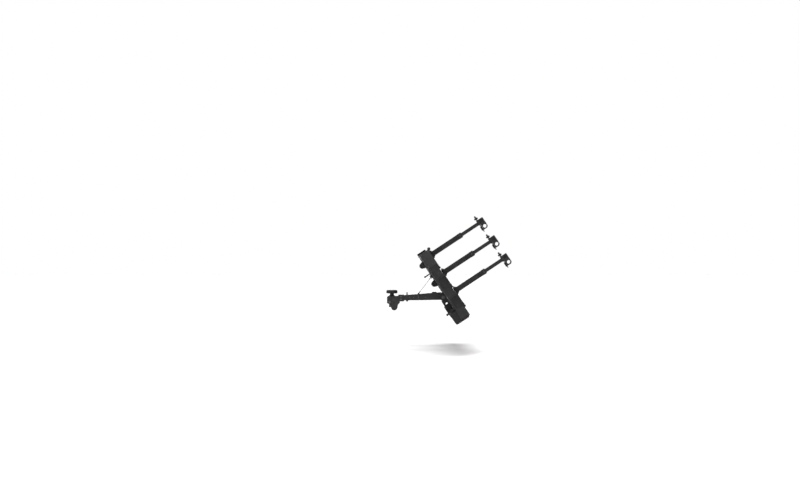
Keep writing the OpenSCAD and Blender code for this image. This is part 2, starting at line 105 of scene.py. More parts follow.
class Shader:
    """A node material with its principled shader ready and a few short ways to add to it."""

    def __init__(self, name):
        self.material = bpy.data.materials.new(name)
        self.material.use_nodes = True
        self.tree = self.material.node_tree
        self.bsdf = self.tree.nodes["Principled BSDF"]
        self.coords = self.add("ShaderNodeTexCoord").outputs["Object"]

    def add(self, kind, inputs=(), **values):
        made = self.tree.nodes.new(kind)
        for key, value in values.items():
            setattr(made, key, value)
        for key, value in dict(inputs).items():
            made.inputs[key].default_value = value
        return made

    def link(self, source, target):
        self.tree.links.new(source, target)

    def set(self, **values):
        for key, value in values.items():
            self.bsdf.inputs[key.replace("_", " ")].default_value = value

    def noise(self, scale, detail=3, stretch=None, turn=0.0):
        """Noise over the object, stretched along one axis of a frame turned about Y."""
        made = self.add("ShaderNodeTexNoise", {"Scale": scale, "Detail": detail})
        if stretch:
            turned = self.add("ShaderNodeMapping", {"Rotation": (0, turn, 0)})
            mapping = self.add("ShaderNodeMapping", {"Scale": stretch})
            self.link(self.coords, turned.inputs["Vector"])
            self.link(turned.outputs["Vector"], mapping.inputs["Vector"])
            self.link(mapping.outputs["Vector"], made.inputs["Vector"])
        else:
            self.link(self.coords, made.inputs["Vector"])
        return made.outputs["Fac"]

    def ramp(self, source, low, high, at=(0.35, 0.65)):
        """A value or colour that runs from low to high as source does."""
        made = self.add("ShaderNodeValToRGB")
        stops = made.color_ramp.elements
        stops[0].position, stops[1].position = at
        stops[0].color = low if isinstance(low, tuple) else (low, low, low, 1)
        stops[1].color = high if isinstance(high, tuple) else (high, high, high, 1)
        self.link(source, made.inputs["Fac"])
        return made.outputs["Color"]

    def mix(self, share, a, b):
        """Colour a where share is 0 and b where it is 1. Either may be a link or a colour."""
        made = self.add("ShaderNodeMix", data_type="RGBA")
        self.link(share, made.inputs["Factor"])
        for value, socket in ((a, made.inputs[6]), (b, made.inputs[7])):
            if isinstance(value, tuple):
                socket.default_value = value
            else:
                self.link(value, socket)
        return made.outputs[2]

    def edges(self, radius=1.4 * MM, start=0.02, end=0.22):
        """1 on outer edges and 0 on flats, from how a rounded normal leans off the true one. The finishes lighten
        their colour by it, as a painted highlight along edges.
        """
        rounded = self.add("ShaderNodeBevel", {"Radius": radius}, samples=4)
        flat = self.add("ShaderNodeNewGeometry")
        dot = self.add("ShaderNodeVectorMath", operation="DOT_PRODUCT")
        self.link(rounded.outputs["Normal"], dot.inputs[0])
        self.link(flat.outputs["Normal"], dot.inputs[1])
        lean = self.add("ShaderNodeMath", {0: 1}, operation="SUBTRACT")
        self.link(dot.outputs["Value"], lean.inputs[1])
        return self.ramp(lean.outputs[0], 0.0, 1.0, (start, end))

    def bump(self, source, depth, strength=0.5, under=None):
        made = self.add("ShaderNodeBump", {"Strength": strength, "Distance": depth})
        self.link(source, made.inputs["Height"])
        if under is not None:
            self.link(under, made.inputs["Normal"])
        return made.outputs["Normal"]

    def colour(self, source):
        self.link(source, self.bsdf.inputs["Base Color"])

    def mottle(self, scale, detail, a, b):
        """The base colour, in soft patches of a and b."""
        self.colour(self.mix(self.ramp(self.noise(scale, detail), 0.0, 1.0), a, b))

    def rough(self, source):
        self.link(source, self.bsdf.inputs["Roughness"])

    def normal(self, source):
        self.link(source, self.bsdf.inputs["Normal"])


def grey(value, tint=(1, 1, 1)):
    return (value * tint[0], value * tint[1], value * tint[2], 1)


def coated(name, base, tint=(0.98, 1, 1.03)):
    """Black powder coat: orange peel, faint dust, and a thin painted highlight in patches along its edges."""
    s = Shader(name)
    cloud = s.noise(9, 4)
    # Painted highlight: edges lightened to grey 0.2, broken into patches by noise.
    patchy_edge_highlight = s.mix(s.edges(0.9 * MM, 0.05, 0.5), (0, 0, 0, 1), s.ramp(s.noise(55, 5), 0.0, 0.8, (0.52, 0.72)))
    body = s.mix(s.ramp(cloud, 0.0, 1.0), grey(base, tint), grey(base * 1.5, (1.02, 1, 0.97)))
    s.colour(s.mix(patchy_edge_highlight, body, (0.2, 0.2, 0.2, 1)))
    s.rough(s.ramp(s.noise(24, 4), 0.3, 0.43))
    peel = s.bump(s.noise(620, 2), 0.12 * MM, 0.35)
    s.normal(s.bump(s.noise(90, 3), 0.1 * MM, 0.15, peel))
    s.set(Specular_IOR_Level=0.4)
    return s.material


def cast(name, base):
    """Rough casting, coated or phosphated, with a painted highlight along its edges."""
    s = Shader(name)
    body = s.mix(s.ramp(s.noise(30, 5), 0.0, 1.0), grey(base), grey(base * 1.6, (1.03, 1, 0.96)))
    # Painted highlight: edges lightened to four times the base colour.
    s.colour(s.mix(s.edges(), body, grey(base * 4)))
    s.rough(s.ramp(s.noise(40, 3), 0.45, 0.62))
    grit = s.bump(s.noise(480, 4), 0.3 * MM, 0.5)
    s.normal(s.bump(s.noise(1400, 2), 0.1 * MM, 0.4, grit))
    s.set(Metallic=0.25)
    return s.material


def anodised(name, base):
    """Black anodised aluminium, with the fine draw lines of an extrusion."""
    s = Shader(name)
    lines = s.noise(60, 2, (22, 22, 0.5), -TILT)
    s.mottle(14, 4, grey(base), grey(base * 1.45))
    s.rough(s.ramp(lines, 0.3, 0.42))
    s.normal(s.bump(lines, 0.03 * MM, 0.3))
    s.set(Metallic=0.35, Specular_IOR_Level=0.4)
    return s.material


def moulded(name, base, rough=0.5, grain=900, depth=0.1):
    """Moulded plastic with a spark-eroded grain and faint flow marks."""
    s = Shader(name)
    s.mottle(7, 4, grey(base), grey(base * 1.35, (1.01, 1, 0.98)))
    s.rough(s.ramp(s.noise(18, 3), rough - 0.05, rough + 0.08))
    cells = s.add("ShaderNodeTexVoronoi", {"Scale": grain})
    s.link(s.coords, cells.inputs["Vector"])
    fine = s.bump(cells.outputs["Distance"], depth * MM, 0.4)
    s.normal(s.bump(s.noise(60, 2), 0.08 * MM, 0.12, fine))
    s.set(Specular_IOR_Level=0.32)
    return s.material


def rubber(name, base, rough=0.72):
    """Soft black rubber, a little bloomed."""
    s = Shader(name)
    s.mottle(20, 5, grey(base), grey(base * 2.0, (1.02, 1, 0.97)))
    s.rough(s.ramp(s.noise(35, 3), rough - 0.08, rough + 0.1))
    s.normal(s.bump(s.noise(700, 3), 0.12 * MM, 0.4))
    s.set(Specular_IOR_Level=0.28)
    return s.material


def plated(name, base=0.56, tint=(1, 0.99, 0.95), rough=0.3):
    """Zinc-plated or stainless steel, with a cloudy passivation."""
    s = Shader(name)
    s.mottle(70, 4, grey(base, tint), grey(base * 0.8, (0.96, 0.98, 1.05)))
    s.rough(s.ramp(s.noise(140, 3), rough - 0.06, rough + 0.12))
    s.normal(s.bump(s.noise(900, 2), 0.05 * MM, 0.25))
    s.set(Metallic=1.0)
    return s.material


def lens(name, tint, clear=0.55):
    """Moulded lens plastic over a reflector, with fine prisms inside."""
    s = Shader(name)
    bands = {"Scale": 85, "Distortion": 0.0}
    prisms = s.add("ShaderNodeTexWave", bands, wave_type="BANDS", bands_direction="Y")
    s.link(s.coords, prisms.inputs["Vector"])
    s.mottle(12, 3, tint, tuple(c * 0.86 for c in tint[:3]) + (1,))
    s.rough(s.ramp(s.noise(25, 3), 0.08, 0.17))
    s.normal(s.bump(prisms.outputs["Fac"], 0.35 * MM, 0.35))
    s.set(Transmission_Weight=clear, IOR=1.49, Coat_Weight=0.5, Coat_Roughness=0.05)
    return s.material


MATERIAL = {
    "coated_steel": coated("powder_coated_steel", 0.012),
    "coated_casting": cast("coated_casting", 0.015),
    "coated_alloy": anodised("black_anodised", 0.022),
    "bare_casting": cast("phosphated_casting", 0.12),
    "zinc": plated("black_zinc", 0.13, (1, 1, 1.02), 0.34),
    "bronze": plated("sintered_bronze", 0.42, (1, 0.74, 0.42), 0.4),
    "wire": plated("steel_wire", 0.42, (1, 1, 1), 0.34),
    "chrome": plated("satin_chrome", 0.5, (1, 1, 1), 0.2),
    "rubber": rubber("black_rubber", 0.009),
    "grip": rubber("soft_grip", 0.010, 0.62),
    "strap": rubber("strap_rubber", 0.009, 0.6),
    "black_plastic": moulded("black_plastic", 0.010),
    "tray_plastic": moulded("tray_plastic", 0.009, 0.46, 700, 0.14),
    "guard_plastic": moulded("guard_plastic", 0.020, 0.52, 1100, 0.08),
    "lens": lens("red_lens", (0.6, 0.02, 0.015, 1)),
    "amber_lens": lens("amber_lens", (0.75, 0.24, 0.02, 1)),
    "clear_lens": lens("clear_lens", (0.82, 0.83, 0.84, 1), 0.85),
    "reflector": plated("vacuum_metal", 0.8, (1, 1, 1), 0.12),
}


# ---- mesh helpers ----


def put(name, data):
    """A new object with this data, in the scene."""
    obj = bpy.data.objects.new(name, data)
    bpy.context.scene.collection.objects.link(obj)
    return obj


def skin(bm, rings, closed=False):
    """Faces from each ring of points to the next. A closed set joins its last ring to its first;
    an open one has a face on each end."""
    for low, high in zip(rings, rings[1:] + rings[:1] if closed else rings[1:]):
        for i in range(len(low)):
            j = (i + 1) % len(low)
            bm.faces.new((low[i], low[j], high[j], high[i]))
    if not closed:
        bm.faces.new(list(reversed(rings[0])))
        bm.faces.new(rings[-1])


def add_box(bm, low, high, bevel=0.0, segments=2):
    """A box between two corners in metres, its edges rounded by bevel in millimetres."""
    low, high = Vector(low), Vector(high)
    size = Matrix.Diagonal((*(high - low), 1))
    made = bmesh.ops.create_cube(bm, size=1, matrix=move((low + high) / 2) @ size)
    round_edges(bm, made["verts"], bevel * MM, segments)


def round_edges(bm, verts, width, segments=2, angle=0.5):
    """Rounds the sharp edges of the faces that these vertices make."""
    if width <= 0:
        return
    bm.normal_update()
    edges = dict.fromkeys(e for v in verts for e in v.link_edges)
    sharp = [e for e in edges if len(e.link_faces) == 2 and e.calc_face_angle(0) > angle]
    bmesh.ops.bevel(bm, geom=sharp, offset=width, segments=segments, profile=0.5, affect="EDGES")


def add_prism(bm, outline, y0, y1, bevel=0.0, segments=2):
    """An outline of (x, z) points standing between two y planes, its edges rounded by bevel in mm."""
    if y0 > y1:
        y0, y1 = y1, y0
    verts = [bm.verts.new((x, y0, z)) for x, z in outline]
    face = bm.faces.new(verts)
    grown = bmesh.ops.extrude_face_region(bm, geom=[face])
    moved = [g for g in grown["geom"] if isinstance(g, bmesh.types.BMVert)]
    bmesh.ops.translate(bm, verts=moved, vec=(0, y1 - y0, 0))
    faces = dict.fromkeys(f for v in verts + moved for f in v.link_faces)
    bmesh.ops.recalc_face_normals(bm, faces=list(faces))
    round_edges(bm, verts + moved, bevel * MM, segments, 0.35)


def axis_matrix(start, direction):
    """A frame at start whose Z runs along direction."""
    turn = Vector((0, 0, 1)).rotation_difference(Vector(direction)).to_matrix().to_4x4()
    return move(Vector(start)) @ turn


def add_lathe(bm, profile, start, direction, sides=40, lobes=0, lobe_depth=0.0, lobe_from=1e9):
    """A closed turned shape: profile is (radius, height) from one end to the other.
    Rings wider than lobe_from are scalloped."""
    place = axis_matrix(start, direction)
    rings = []
    for radius, height in profile:
        ring = []
        for i in range(sides):
            a = 2 * pi * i / sides
            r = radius
            if lobes and radius > lobe_from:
                dip = max(0.0, cos(lobes * a)) ** 1.5
                r -= lobe_depth * dip * min(1.0, (radius - lobe_from) / (0.2 * radius))
            ring.append(bm.verts.new(place @ Vector((r * cos(a), r * sin(a), height))))
        rings.append(ring)
    skin(bm, rings)


def add_rod(bm, start, end, radius, sides=24):
    """A round bar with chamfered ends."""
    start, end = Vector(start), Vector(end)
    length = (end - start).length
    c = radius * 0.12
    profile = [(radius - c, 0), (radius, c), (radius, length - c), (radius - c, length)]
    add_lathe(bm, profile, start, end - start, sides)


def add_ring(bm, centre, direction, inner, outer, thick, sides=36):
    """A flat washer or collar in mm, rounded on its outer edge."""
    inner, outer, thick = mm(inner, outer, thick)
    place = axis_matrix(centre, direction)
    c = min(thick, outer - inner) * 0.2
    loop = [(inner, 0), (outer - c, 0), (outer, c), (outer, thick - c), (outer - c, thick), (inner, thick)]
    rings = []
    for r, h in loop:
        turn = [2 * pi * i / sides for i in range(sides)]
        rings.append([bm.verts.new(place @ Vector((r * cos(a), r * sin(a), h))) for a in turn])
    skin(bm, rings, closed=True)


def add_tube(bm, path, radius, sides=8, flat=1.0):
    """A bar swept along a path of points, closed at its ends."""
    points = [Vector(p) for p in path]
    side = None
    rings = []
    for i, p in enumerate(points):
        ahead = (points[min(i + 1, len(points) - 1)] - points[max(i - 1, 0)]).normalized()
        if side is None:
            side = ahead.orthogonal().normalized()
        side = (side - ahead * side.dot(ahead)).normalized()
        up = ahead.cross(side)
        turn = [2 * pi * k / sides for k in range(sides)]
        spokes = [side * cos(a) + up * sin(a) * flat for a in turn]
        rings.append([bm.verts.new(p + spoke * radius) for spoke in spokes])
    skin(bm, rings)


def add_bolt(bm, centre, direction, across, height, washer=1.2, thread=0):
    """A hexagon head on a washer, in mm, with a stub of thread out of it where it is a nut."""
    across, height, washer, thread = mm(across, height, washer, thread)
    flange = [(across * 0.66, 0), (across * 0.68, washer * 0.3), (across * 0.68, washer)]
    add_lathe(bm, flange, centre, direction, 24)
    r = across / sqrt(3)
    profile = [(r * 0.97, washer), (r, washer + height * 0.12), (r, washer + height * 0.82)]
    profile += [(r * 0.84, washer + height)]
    add_lathe(bm, profile, centre, direction, 6)
    if thread:
        start = Vector(centre) + Vector(direction).normalized() * (washer + height)
        add_lathe(bm, thread_profile(across * 0.3, thread), start, Vector(direction).normalized(), 18)


def thread_profile(radius, length, pitch=1.25 * MM):
    """The outline of a screw thread, as rings."""
    count = max(2, int(length / pitch))
    step = length / count
    profile = [(radius * 0.86, 0)]
    for i in range(count):
        profile.append((radius, (i + 0.45) * step))
        profile.append((radius * 0.86, (i + 0.95) * step))
    return profile


def add_screw(bm, centre, direction, radius, height=1.6):
    """A domed screw head in mm, its socket shown as a dimple."""
    radius, height = mm(radius, height)
    profile = [(radius, 0), (radius * 0.98, height * 0.5), (radius * 0.7, height * 0.9)]
    profile += [(radius * 0.45, height), (radius * 0.4, height * 0.35)]
    add_lathe(bm, profile, centre, direction, 18)


def piece(name, bm, slot, body, space=ROW, replaces=(), material=None, angle=34):
    """Turns the mesh into a named piece with its finish, on its body."""
    mesh = bpy.data.meshes.new(name)
    bm.transform(space)
    if space.determinant() < 0:
        bmesh.ops.reverse_faces(bm, faces=bm.faces)
    bmesh.ops.recalc_face_normals(bm, faces=bm.faces)
    bm.to_mesh(mesh)
    bm.free()
    mesh.polygons.foreach_set("use_smooth", [True] * len(mesh.polygons))
    mesh.set_sharp_from_angle(angle=radians(angle))
    obj = put(name, mesh)
    mesh.materials.append(MATERIAL[material or slot])
    if body:
        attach(obj, body)
    if replaces:
        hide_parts(*replaces)
    return obj


# ---- the CAD nodes that stay ----

ROUNDING = {
    "main_tube": 3.0, "coupling_shell": 2.6, "ball_seat": 1.2, "clamp_jaw": 1.5,
    "chassis_beams": 2.0, "cross_members": 1.5, "hinge_brackets": 1.2, "saddles": 2.0,
    "guide_pegs": 1.0, "chassis_cover": 1.0, "plate_board": 0.8, "arm_bases": 1.2,
    "grab_handle": 1.5, "wing_frame": 2.2, "corner_guard": 1.6, "lamp_housing": 1.2, "buckles": 0.7,
    "lever": 0.8, "arm_tube": 2.4, "arm_slide": 2.2, "arm_jaw": 1.6, "foot_pedal": 1.2,
    "bump_stop": 1.5, "latch_hook": 0.7, "pull_rod": 0.5, "tube_fittings": 0.8,
}


def drawn_area(obj):
    """The area of the node's surface as its modifiers leave it."""
    shown = obj.evaluated_get(bpy.context.evaluated_depsgraph_get())
    mesh = shown.to_mesh()
    mesh.calc_loop_triangles()
    area = sum(t.area for t in mesh.loop_triangles)
    shown.to_mesh_clear()
    return area


def merge_flats(obj, angle=0.8):
    """Merges coplanar triangles so that bevels run clean. On a flat ring, the merged face and the
    bevel can close over the opening, so the merge is taken back where the surface grows."""
    before = drawn_area(obj)
    flats = obj.modifiers.new("flats", "DECIMATE")
    flats.decimate_type = "DISSOLVE"
    flats.angle_limit = radians(angle)
    obj.modifiers.move(len(obj.modifiers) - 1, 1)
    if drawn_area(obj) / before > MERGE_GROWTH:
        obj.modifiers.remove(flats)


def dress_cad_node(name, obj, slot):
    """Rounds a CAD node's edges a little and gives it its finish."""
    width = next((w for key, w in ROUNDING.items() if name.startswith(key)), 0.4)
    obj.data.polygons.foreach_set("use_smooth", [True] * len(obj.data.polygons))
    custom = obj.data.attributes.get("custom_normal")
    if custom:
        obj.data.attributes.remove(custom)
    weld = obj.modifiers.new("weld", "WELD")
    weld.merge_threshold = 0.00002
    bevel = obj.modifiers.new("bevel", "BEVEL")
    bevel.width = width * MM
    bevel.segments = 3
    bevel.limit_method = "ANGLE"
    bevel.angle_limit = radians(38)
    bevel.miter_outer = "MITER_ARC"
    bevel.harden_normals = True
    merge_flats(obj)
    obj.data.materials.clear()
    obj.data.materials.append(MATERIAL[slot])


def dress_cad_nodes():
    slots = {s["node"]: s["material_slot"] for s in frame["record"]["subparts"]}
    for name, obj in NODES.items():
        dress_cad_node(name, obj, slots[name])


# ---- coupling ----


def tension_knob():
    """The scalloped knob with its dished top, on its threaded screw."""
    bm = bmesh.new()
    r = 56 * MM
    outline = [(12, 107.2), (19, 107.2), (20, 109), (19.4, 121), (24, 123), (49, 123.4), (53.5, 125)]
    outline += [(55.8, 129), (56, 136), (55.6, 145), (53.6, 150), (50, 153.4), (45, 155.6)]
    outline += [(39, 156.3), (36, 155.4), (34.6, 152.6), (20, 151), (16, 152.2), (14.4, 155)]
    outline += [(12.4, 156.6), (9, 156.6), (8.6, 156), (8.6, 139), (2, 138.6)]
    profile = [mm(a, b - 100) for a, b in outline]
    add_lathe(bm, profile, (KNOB_X, 0, 100 * MM), (0, 0, 1), 144, 8, 7.2 * MM, 0.62 * r)
    piece("knob_body", bm, "black_plastic", "tension_knob", replaces=["clamp_knob"], angle=50)
    bm = bmesh.new()
    add_lathe(bm, thread_profile(7.9 * MM, 51 * MM, 2 * MM), (KNOB_X, 0, 55.5 * MM), (0, 0, 1), 28)
    piece("knob_screw", bm, "zinc", "tension_knob")
    bm = bmesh.new()
    for i in range(8):
        a = radians(22.5 + 45 * i)
        way = Vector((cos(a), sin(a), 0))
        for z in (131, 135, 139, 143):
            start = Vector((KNOB_X, 0, z * MM)) + way * 55.3 * MM
            across = way.cross(Vector((0, 0, 1))) * 7 * MM
            add_tube(bm, [start - across, start, start + across], 0.9 * MM, 6)
    piece("knob_grips", bm, "grip", "tension_knob")


def lock_trim():
    """A bright bezel round the lock."""
    bm = bmesh.new()
    add_ring(bm, (KNOB_X, 0, 156.2 * MM), (0, 0, 1), 8.6, 12, 0.9)
    piece("lock_bezel", bm, "chrome", "tension_knob")


def coupling_details():
    """Bolt heads, cast ribs and the washer under the knob."""
    bm = bmesh.new()
    for z in (66, 92):
        for s in (1, -1):
            add_bolt(bm, mm(64, s * 31.8, z), (0, s, 0), 13, 4.4, 1.2)
    for s in (1, -1):
        add_bolt(bm, mm(-46, s * 43, 44), (0, s, 0), 16, 4.5, 1.2, 0)
    piece("coupling_fasteners", bm, "zinc", "tube")
    bm = bmesh.new()
    for s in (1, -1):
        face = s * 43 * MM
        rim = [(-20, 18), (-14, -14), (14, -14), (20, 18)]
        add_prism(bm, [mm(x, z) for x, z in rim], face - s * 0.4 * MM, face + s * 1.8 * MM, 0.8)
        for x in (-56, -30, 28):
            add_box(bm, ((x - 1.6) * MM, min(face, face + s * 2.2 * MM), 52 * MM),
                    ((x + 1.6) * MM, max(face, face + s * 2.2 * MM), 90 * MM), 0.7)
        add_ring(bm, (0, face - s * 0.5 * MM, -10 * MM), (0, s, 0), 22, 28, 2.4, 48)
    piece("coupling_ribs", bm, "coated_casting", "tube")
    bm = bmesh.new()
    add_ring(bm, (KNOB_X, 0, 105.6 * MM), (0, 0, 1), 9, 24, 1.2, 40)
    piece("knob_washer", bm, "zinc", "tube")


# ---- main tube ----


def tube_top(x):
    return (107 + (x - 114) * 0.0785) * MM


def tube_foot(x):
    return (56 + (x - 114) * 0.0151) * MM


def weld_bead(bm, path, radius=2.4 * MM, pitch=2.6 * MM):
    """Overlapping ripples of weld metal along a path."""
    points = [Vector(p) for p in path]
    for a, b in zip(points, points[1:]):
        count = max(1, int((b - a).length / pitch))
        for i in range(count):
            at = a.lerp(b, (i + 0.5) / count)
            bmesh.ops.create_icosphere(bm, subdivisions=2, radius=radius,
                                       matrix=move(at) @ Matrix.Diagonal((1, 1, 0.75, 1)))


def tube_details():
    """Weld beads at the collar and the hinge boss, rivets, and the wire fitting's two bolts."""
    bm = bmesh.new()
    collar_end, y, r = 94.6, 25.4 * MM, 35 * MM
    top, foot = tube_top(collar_end) + 0.3 * MM, tube_foot(collar_end) - 0.3 * MM
    corners = [(-y, foot), (y, foot), (y, top), (-y, top), (-y, foot)]
    weld_bead(bm, [(collar_end * MM, a, b) for a, b in corners], 2.0 * MM)
    for s in (1, -1):
        arc = [radians(a) for a in range(120, 241, 6)]
        path = [(HINGE.x + r * cos(a), s * y, HINGE.z + r * sin(a)) for a in arc]
        weld_bead(bm, path, 1.8 * MM)
    piece("tube_welds", bm, "coated_steel", "tube")
    bm = bmesh.new()
    for x in (150, 188, 300):
        for s in (1, -1):
            add_screw(bm, mm(x, s * 24.8, 84), (0, s, 0), 4, 2)
    for z in (84, 98):
        add_bolt(bm, (WIRE_FOOT.x, -30.8 * MM, z * MM), (0, -1, 0), 10, 4, 1, 2.5)
    piece("tube_rivets", bm, "zinc", "tube")


def striker_details():
    """A nut under the tube and a collar on top of it at each leg."""
    bm = bmesh.new()
    for y in (-14, 14):
        at = (124 * MM, y * MM, tube_foot(124) - 0.1 * MM)
        add_bolt(bm, at, (0, 0, -1), 17, 7, 1.6, 3.5)
        add_ring(bm, (124 * MM, y * MM, tube_top(124) + 0.2 * MM), (0, 0, 1), 6, 9.4, 2.4)
    piece("striker_nuts", bm, "zinc", "tube")


def bump_ribs():
    """Ribs moulded across the rubber stop."""
    bm = bmesh.new()
    for x in range(372, 411, 5):
        add_box(bm, (x * MM, -17 * MM, tube_top(x) + 1 * MM), mm(x + 2.2, 17, 138.1), 0.6)
    piece("bump_ribs", bm, "rubber", "tube")


def helix(start, end, offset, phase, turns, steps):
    """Points of a helix round the line from start to end."""
    start, end = Vector(start), Vector(end)
    along = (end - start).normalized()
    side = along.orthogonal().normalized()
    up = along.cross(side)
    points = []
    for i in range(steps + 1):
        t = i / steps
        a = phase + 2 * pi * turns * t
        points.append(start.lerp(end, t) + (side * cos(a) + up * sin(a)) * offset)
    return points


def eye_loop(bm, centre, towards):
    """The wire doubled round its eye, with both tails lying together."""
    centre, towards = Vector(centre), (Vector(towards) - Vector(centre)).normalized()
    across = towards.cross(Vector((0, 1, 0))).normalized()
    loop = []
    for i in range(33):
        a = radians(-150 + 300 * i / 32)
        loop.append(centre + (towards * -cos(a) + across * sin(a)) * 7.6 * MM)
    tail = centre + towards * 13 * MM
    path = [tail + across * -1.6 * MM] + loop + [tail + across * 1.6 * MM]
    add_tube(bm, path, 1.9 * MM, 8)


def tilt_wire():
    """Six strands round a core, with an eye, a pressed sleeve and a bush at each end."""
    low, high = WIRE_FOOT, DECK @ WIRE_HEAD
    along = (high - low).normalized()
    start, end = low + along * 10 * MM, high - along * 10 * MM
    length = (end - start).length
    bm = bmesh.new()
    add_tube(bm, [start.lerp(end, i / 60) for i in range(61)], 1.1 * MM, 8)
    for k in range(6):
        add_tube(bm, helix(start, end, 1.75 * MM, k * pi / 3, length / (19 * MM), 150), 1.02 * MM, 7)
    rope = piece("tilt_rope", bm, "wire", None, replaces=["tilt_wire"], angle=60)
    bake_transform(rope)
    ends = (("wire_eye_low", low, high, "tube"), ("wire_eye_high", high, low, "deck"))
    for name, eye, other, body in ends:
        bm = bmesh.new()
        eye_loop(bm, eye, other)
        piece(name, bm, "wire", body, angle=60)
        way = (other - eye).normalized()
        bm = bmesh.new()
        sleeve = [(2.6, 0), (3.9, 1.2), (4.3, 3), (4.0, 6), (4.3, 9), (4.0, 12), (4.3, 15)]
        sleeve += [(3.9, 17.4), (2.9, 19)]
        add_lathe(bm, [mm(r, h) for r, h in sleeve], eye + way * 10 * MM, way, 20)
        add_ring(bm, eye + Vector((0, 2.4 * MM, 0)), (0, -1, 0), 5.1, 6.4, 4.8)
        piece(name + "_sleeve", bm, "zinc", body)


# ---- chassis ----


def chassis_fasteners():
    """Bolts on the hinge, its brackets and the holder bases, and the cover's screws."""
    bm = bmesh.new()
    for s in (1, -1):
        tail = 5 if s > 0 else 0
        add_bolt(bm, (HINGE_U, s * 53 * MM, -HINGE_DROP), (0, s, 0), 24, 8, 2,
                 tail)
        add_bolt(bm, mm(582, s * 46, 8), (0, s, 0), 13, 5)
    piece("hinge_bolts", bm, "zinc", "deck", DECK)
    bm = bmesh.new()
    for k in range(3):
        u = ARM_U + k * PITCH
        for y in (-40, 40):
            for du in (-22, 22):
                add_bolt(bm, (u + du * MM, y * MM, 86.8 * MM), (0, 0, 1), 10, 4, 1, 2)
        for s in (1, -1):
            tail = 3 if s < 0 else 0
            add_bolt(bm, (u + s * 35.8 * MM, 0, 118 * MM), (s, 0, 0), 15, 5, 1, tail)
    for u in (60, 160, 260, 365, 470, 575, 690):
        for y in (-84, 84):
            add_screw(bm, mm(u, y, 80.9), (0, 0, 1), 4.2)
    piece("deck_fasteners", bm, "zinc", "deck", DECK)


def cover_ribs():
    """Raised ribs on the chassis cover and a border round each of its openings."""
    bm = bmesh.new()
    for y in (-96, 92):
        add_box(bm, mm(42, y, 80.6), mm(704, y + 4, 83.4), 1.2)
    for u0, u1 in ((112, 168), (322, 378), (532, 588)):
        for y in range(-66, 70, 22):
            add_box(bm, mm(u0 + 6, y - 3, 80.6), mm(u1 - 6, y + 3, 83), 1.1)
    for u0, u1 in ((174, 228), (384, 438), (594, 648)):
        add_box(bm, mm(u0 - 4, -38, 80.6), mm(u0, 38, 84), 1)
        add_box(bm, mm(u1, -38, 80.6), mm(u1 + 4, 38, 84), 1)
        for y in (-38, 34):
            add_box(bm, mm(u0 - 4, y, 80.6), mm(u1 + 4, y + 4, 84), 1)
    piece("cover_ribs", bm, "black_plastic", "deck", DECK)


def saddle_pads():
    """Rubber wear pads inside each saddle, their screws, and raised trim outside."""
    pads, trim = bmesh.new(), bmesh.new()
    for k in range(2):
        u = SADDLE_U + k * PITCH
        for s in (1, -1):
            low, high = sorted(mm(s * 32.7, s * 34.1))
            add_box(pads, (u - 20 * MM, low, -42 * MM), (u + 20 * MM, high, 8 * MM), 0.5)
            for du in (-12, 12):
                add_screw(pads, (u + du * MM, s * 43.9 * MM, -4 * MM), (0, s, 0), 4.5)
            low, high = sorted(mm(s * 43.8, s * 45.4))
            add_box(trim, (u - 24 * MM, low, -20 * MM), (u + 24 * MM, high, -13 * MM), 0.6)
            add_ring(trim, (u, s * 43.8 * MM, -26 * MM), (0, s, 0), 17, 22, 1.8, 40)
    piece("saddle_pads", pads, "rubber", "deck", DECK)
    piece("saddle_trim", trim, "guard_plastic", "deck", DECK)


def grip_sleeve():
    """The ribbed soft sleeve on the grab bar."""
    bm = bmesh.new()
    profile = [(13.1, 0), (14.4, 1.5)]
    for i in range(18):
        profile += [(14.6, 4 + i * 5), (13.7, 6.4 + i * 5)]
    profile += [(14.6, 94), (14.4, 96.5), (13.1, 98)]
    add_lathe(bm, [mm(r, h) for r, h in profile], mm(8, -49, 120), (0, 1, 0), 32)
    piece("grab_sleeve", bm, "grip", "deck", DECK, angle=20)
    bm = bmesh.new()
    for s in (1, -1):
        for y in (52, 68):
            add_screw(bm, mm(32.2, s * y, 85.5), (-1, 0, 0), 1.8, 1.2)
    piece("grab_screws", bm, "zinc", "deck", DECK)


def plate_details():
    """Clips and back ribs on the number-plate board, and the two small lamps over it."""
    bm = bmesh.new()
    for y in range(-240, 241, 40):
        add_box(bm, mm(709, y - 1.5, -56), mm(715.2, y + 1.5, 30), 0.6)
    for v in (-40, 24):
        add_box(bm, mm(709, -256, v - 1.5), mm(715.2, 256, v + 1.5), 0.6)
    for y in (-190, 190):
        add_box(bm, mm(719.8, y - 16, -60), mm(725, y + 16, -50), 1.2)
        add_box(bm, mm(719.8, y - 16, 46), mm(725, y + 16, 56), 1.2)
    piece("plate_clips", bm, "black_plastic", "deck", DECK)
    bodies, lenses = bmesh.new(), bmesh.new()
    for y in (-130, 130):
        add_box(bodies, mm(712, y - 24, 58), mm(730, y + 24, 68), 2.4, 3)
        add_box(lenses, mm(721, y - 19, 55.6), mm(729, y + 19, 58.4), 1)
    piece("plate_lamp_bodies", bodies, "black_plastic", "deck", DECK)
    piece("plate_lamp_lenses", lenses, "lens", "deck", DECK, material="clear_lens")


def pedal_tread():
    """The ribbed rubber tread and toe strip on the pedal."""
    bm = bmesh.new()
    for v in range(-89, -62, 5):
        u = (637 + (v + 60) * 3 / 32) * MM
        add_box(bm, (u - 1.4 * MM, -43 * MM, v * MM), (u + 3 * MM, 43 * MM, (v + 2.6) * MM), 0.8)
    add_box(bm, mm(637.4, -45, -92.6), mm(651, 45, -88.6), 1.8, 3)
    piece("pedal_tread", bm, "rubber", "pedal", DECK)


